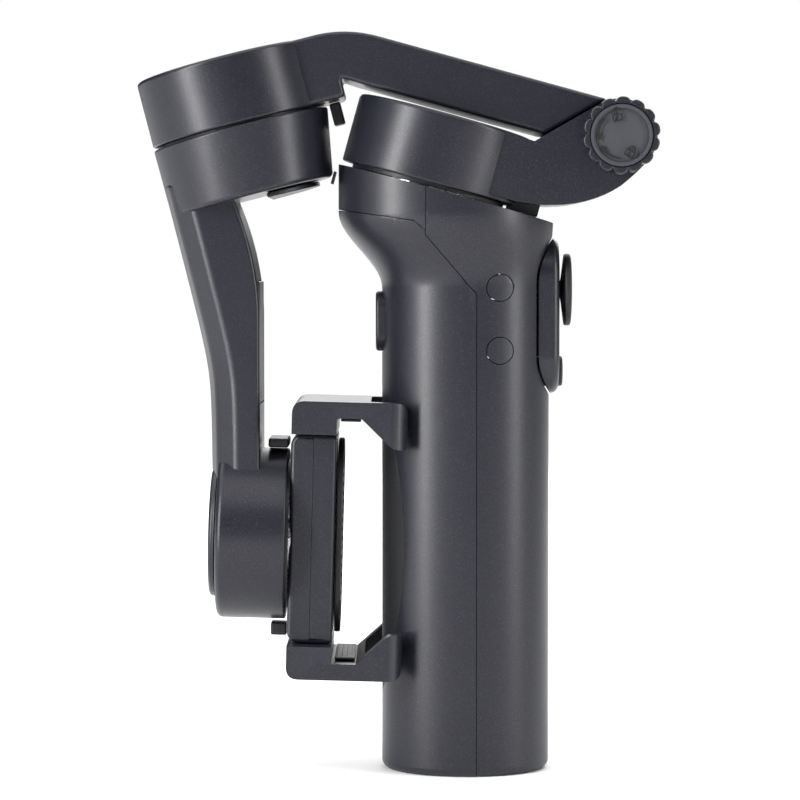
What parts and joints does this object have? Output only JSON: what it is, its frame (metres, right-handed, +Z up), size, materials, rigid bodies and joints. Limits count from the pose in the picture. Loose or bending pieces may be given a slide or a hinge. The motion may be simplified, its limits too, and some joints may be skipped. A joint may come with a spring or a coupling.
{
  "type": "phone gimbal",
  "caption": "Folding three-axis phone gimbal with an oval handle, motorised pan, tilt and roll arms, a lock knob and a sprung phone clamp, shown folded.",
  "frame": {"origin": "centre of the oval face that the handle stands on", "axes": "+Z up the handle, +X out of the control panel towards the user, +Y across the handle, away from the lock knob"},
  "size_m": [0.123, 0.045, 0.1759],
  "materials": {
    "body": "satin, charcoal with a very fine pearl speckle",
    "dark": "fine matt, near black",
    "rubber": "matt, lightly grained",
    "steel": "machined",
    "brass": "turned",
    "winding": "enamelled copper winding",
    "board": "coated circuit board",
    "cell": "shrink-wrapped cell"
  },
  "bodies": {
    "handle": {"front_shell": "body", "rear_shell": "body", "rear_collar": "body", "rear_grip_pad": "rubber", "screw_plug_lower_near": "body", "screw_plug_lower_far": "body", "screw_plug_upper_near": "body", "screw_plug_upper_far": "body", "control_panel": "dark", "joystick_housing": "dark", "base_plate": "dark", "tripod_insert": "brass", "charging_port": "steel", "battery_cell": "cell", "battery_cradle": "dark", "main_board": "board", "control_board": "board", "motor_deck": "dark", "pan_stop": "dark", "pan_stator": "winding", "pan_bearing": "steel"},
    "pan_arm": {"pan_arm": "body", "pan_rotor": "steel", "pan_shaft": "steel", "fold_bolt": "steel"},
    "lock_knob": {"lock_knob": "dark", "knob_cap": "body"},
    "upper_arm": {"upper_arm": "body", "arm_cover": "body", "tilt_stop": "dark", "tilt_stator": "winding", "tilt_bearing": "steel"},
    "tilt_arm": {"tilt_arm": "body", "tilt_arm_cover": "dark", "tilt_motor_plate": "dark", "tilt_rotor": "steel", "tilt_shaft": "steel", "roll_end_cap": "body", "roll_tab": "dark", "roll_stator": "winding", "roll_bearing": "steel"},
    "clamp": {"clamp_base": "body", "clamp_front": "body", "back_pad": "rubber", "clamp_stop": "dark", "roll_rotor": "steel", "roll_shaft": "steel"},
    "upper_jaw": {"upper_jaw": "body", "upper_jaw_pad": "rubber", "upper_jaw_rack": "dark", "upper_jaw_rod": "steel"},
    "lower_jaw": {"lower_jaw": "body", "lower_jaw_pad": "rubber", "lower_jaw_rack": "dark", "lower_jaw_rod": "steel"},
    "jaw_pinion": {"jaw_pinion": "brass"},
    "trigger": {"trigger": "dark"},
    "record_button": {"record_button": "rubber"},
    "joystick_yoke": {"joystick_yoke": "steel"},
    "joystick_cap": {"joystick_cap": "rubber"}
  },
  "joints": [
    {"name": "pan", "type": "hinge", "parent": "handle", "child": "pan_arm", "pos_m": [-0.009, 0, 0.14], "axis": [0.2639, 0, 0.9646], "range_deg": [-160, 160]},
    {"name": "fold_hinge", "type": "hinge", "parent": "pan_arm", "child": "upper_arm", "pos_m": [0.03569, 0, 0.151], "axis": [0, 1, 0], "range_deg": [0, 116]},
    {"name": "lock_knob_turn", "type": "hinge", "parent": "pan_arm", "child": "lock_knob", "pos_m": [0.03569, 0, 0.151], "axis": [0, -1, 0], "range_deg": [0, 90]},
    {"name": "tilt", "type": "hinge", "parent": "upper_arm", "child": "tilt_arm", "pos_m": [-0.0538, 0, 0.1536], "axis": [0.2504, 0, -0.9681], "range_deg": [-60, 160]},
    {"name": "roll", "type": "hinge", "parent": "tilt_arm", "child": "clamp", "pos_m": [-0.05, 0, 0.0566], "axis": [0.9997, 0, -0.0262], "range_deg": [-150, 150]},
    {"name": "upper_jaw_slide", "type": "slide", "parent": "clamp", "child": "upper_jaw", "axis": [0.0262, 0, 0.9997], "range_m": [0, 0.0155], "stiffness_N_per_m": 120, "springref_m": -0.012},
    {"name": "lower_jaw_slide", "type": "slide", "parent": "clamp", "child": "lower_jaw", "axis": [-0.0262, 0, -0.9997], "range_m": [0, 0.0155]},
    {"name": "pinion_turn", "type": "hinge", "parent": "clamp", "child": "jaw_pinion", "pos_m": [-0.03501, 0, 0.05621], "axis": [0.9997, 0, -0.0262], "range_deg": [0, 230]},
    {"name": "trigger_press", "type": "slide", "parent": "handle", "child": "trigger", "axis": [1, 0, 0], "range_m": [0, 0.001], "stiffness_N_per_m": 800, "springref_m": -0.0005},
    {"name": "record_press", "type": "slide", "parent": "handle", "child": "record_button", "axis": [-1, 0, 0], "range_m": [0, 0.0006], "stiffness_N_per_m": 900, "springref_m": -0.0005},
    {"name": "stick_up_down", "type": "hinge", "parent": "handle", "child": "joystick_yoke", "pos_m": [0.016, 0, 0.115], "axis": [0, 1, 0], "range_deg": [-5, 5], "stiffness_Nm_per_rad": 0.03},
    {"name": "stick_left_right", "type": "hinge", "parent": "joystick_yoke", "child": "joystick_cap", "pos_m": [0.016, 0, 0.115], "axis": [0, 0, 1], "range_deg": [-5, 5], "stiffness_Nm_per_rad": 0.03}
  ],
  "couplings": [
    {"joint": "pan", "follows": "fold_hinge", "ratio": 0.91531},
    {"joint": "tilt", "follows": "fold_hinge", "ratio": 0.92329},
    {"joint": "roll", "follows": "fold_hinge", "ratio": -0.07078},
    {"joint": "lower_jaw_slide", "follows": "upper_jaw_slide", "ratio": 1},
    {"joint": "pinion_turn", "follows": "upper_jaw_slide", "rad_per_m": 250}
  ]
}
